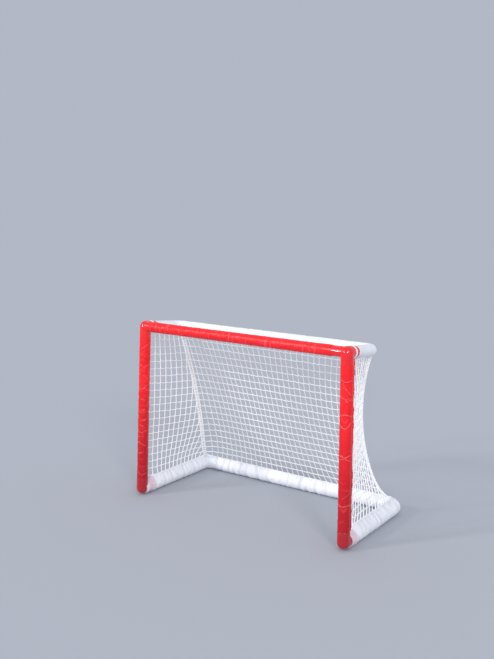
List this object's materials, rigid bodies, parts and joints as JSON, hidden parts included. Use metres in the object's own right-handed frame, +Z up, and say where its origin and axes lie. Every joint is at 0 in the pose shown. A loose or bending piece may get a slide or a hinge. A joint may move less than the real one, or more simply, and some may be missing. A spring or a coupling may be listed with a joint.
{
  "type": "hockey goal net",
  "caption": "Small free-standing hockey goal: padded steel-tube frame with red posts and crossbar, white base and top rails, and a laced net behind.",
  "frame": {"origin": "on the floor, at the middle of the footprint in width and depth", "axes": "+Z up; X along the crossbar, so the goal is mirrored left to right about X=0; +Y from the mouth towards the back of the net"},
  "size_m": [0.792, 0.403, 0.5822],
  "materials": {
    "steel_tube": "galvanised",
    "spring_steel": "satin spring steel",
    "moulded_socket": "moulded, satin gloss",
    "foam": "closed-cell foam",
    "red_vinyl": "smooth glossy vinyl",
    "red_sleeve": "coated woven sleeve, wrinkled",
    "white_sleeve": "coated woven sleeve, wrinkled",
    "netting": "braided white twine",
    "lacing_cord": "braided white cord"
  },
  "bodies": {
    "frame": {"crossbar_tube": "steel_tube", "left_post_tube": "steel_tube", "right_post_tube": "steel_tube", "base_left_tube": "steel_tube", "base_right_tube": "steel_tube", "base_rear_tube": "steel_tube", "top_left_tube": "steel_tube", "top_right_tube": "steel_tube", "top_rear_tube": "steel_tube", "left_corner_fitting": "moulded_socket", "right_corner_fitting": "moulded_socket", "left_foot_fitting": "moulded_socket", "right_foot_fitting": "moulded_socket", "crossbar_pad": "foam", "left_post_pad": "foam", "right_post_pad": "foam", "base_left_pad": "foam", "base_right_pad": "foam", "base_rear_pad": "foam", "top_left_pad": "foam", "top_right_pad": "foam", "top_rear_pad": "foam", "crossbar_sleeve": "red_sleeve", "left_post_sleeve": "red_sleeve", "right_post_sleeve": "red_sleeve", "base_left_sleeve": "white_sleeve", "base_right_sleeve": "white_sleeve", "base_rear_sleeve": "white_sleeve", "top_left_sleeve": "white_sleeve", "top_right_sleeve": "white_sleeve", "top_rear_sleeve": "white_sleeve", "left_corner_cover": "red_vinyl", "right_corner_cover": "red_vinyl", "left_foot_boot": "red_vinyl", "right_foot_boot": "red_vinyl", "left_corner_ring": "red_vinyl", "right_corner_ring": "red_vinyl", "left_corner_tie": "lacing_cord", "right_corner_tie": "lacing_cord", "back_net": "netting", "left_net": "netting", "right_net": "netting", "top_net": "netting", "left_lacing": "lacing_cord", "right_lacing": "lacing_cord", "snap_springs": "spring_steel"},
    "base_left_button": {"base_left_button": "spring_steel"},
    "base_right_button": {"base_right_button": "spring_steel"},
    "top_left_button": {"top_left_button": "spring_steel"},
    "top_right_button": {"top_right_button": "spring_steel"}
  },
  "joints": [
    {"name": "base_left_button_press", "type": "slide", "parent": "frame", "child": "base_left_button", "axis": [-1, 0, 0], "range_m": [0, 0.0045], "stiffness_N_per_m": 1500},
    {"name": "base_right_button_press", "type": "slide", "parent": "frame", "child": "base_right_button", "axis": [1, 0, 0], "range_m": [0, 0.0045], "stiffness_N_per_m": 1500},
    {"name": "top_left_button_press", "type": "slide", "parent": "frame", "child": "top_left_button", "axis": [-1, 0, 0], "range_m": [0, 0.0045], "stiffness_N_per_m": 1500},
    {"name": "top_right_button_press", "type": "slide", "parent": "frame", "child": "top_right_button", "axis": [1, 0, 0], "range_m": [0, 0.0045], "stiffness_N_per_m": 1500}
  ]
}
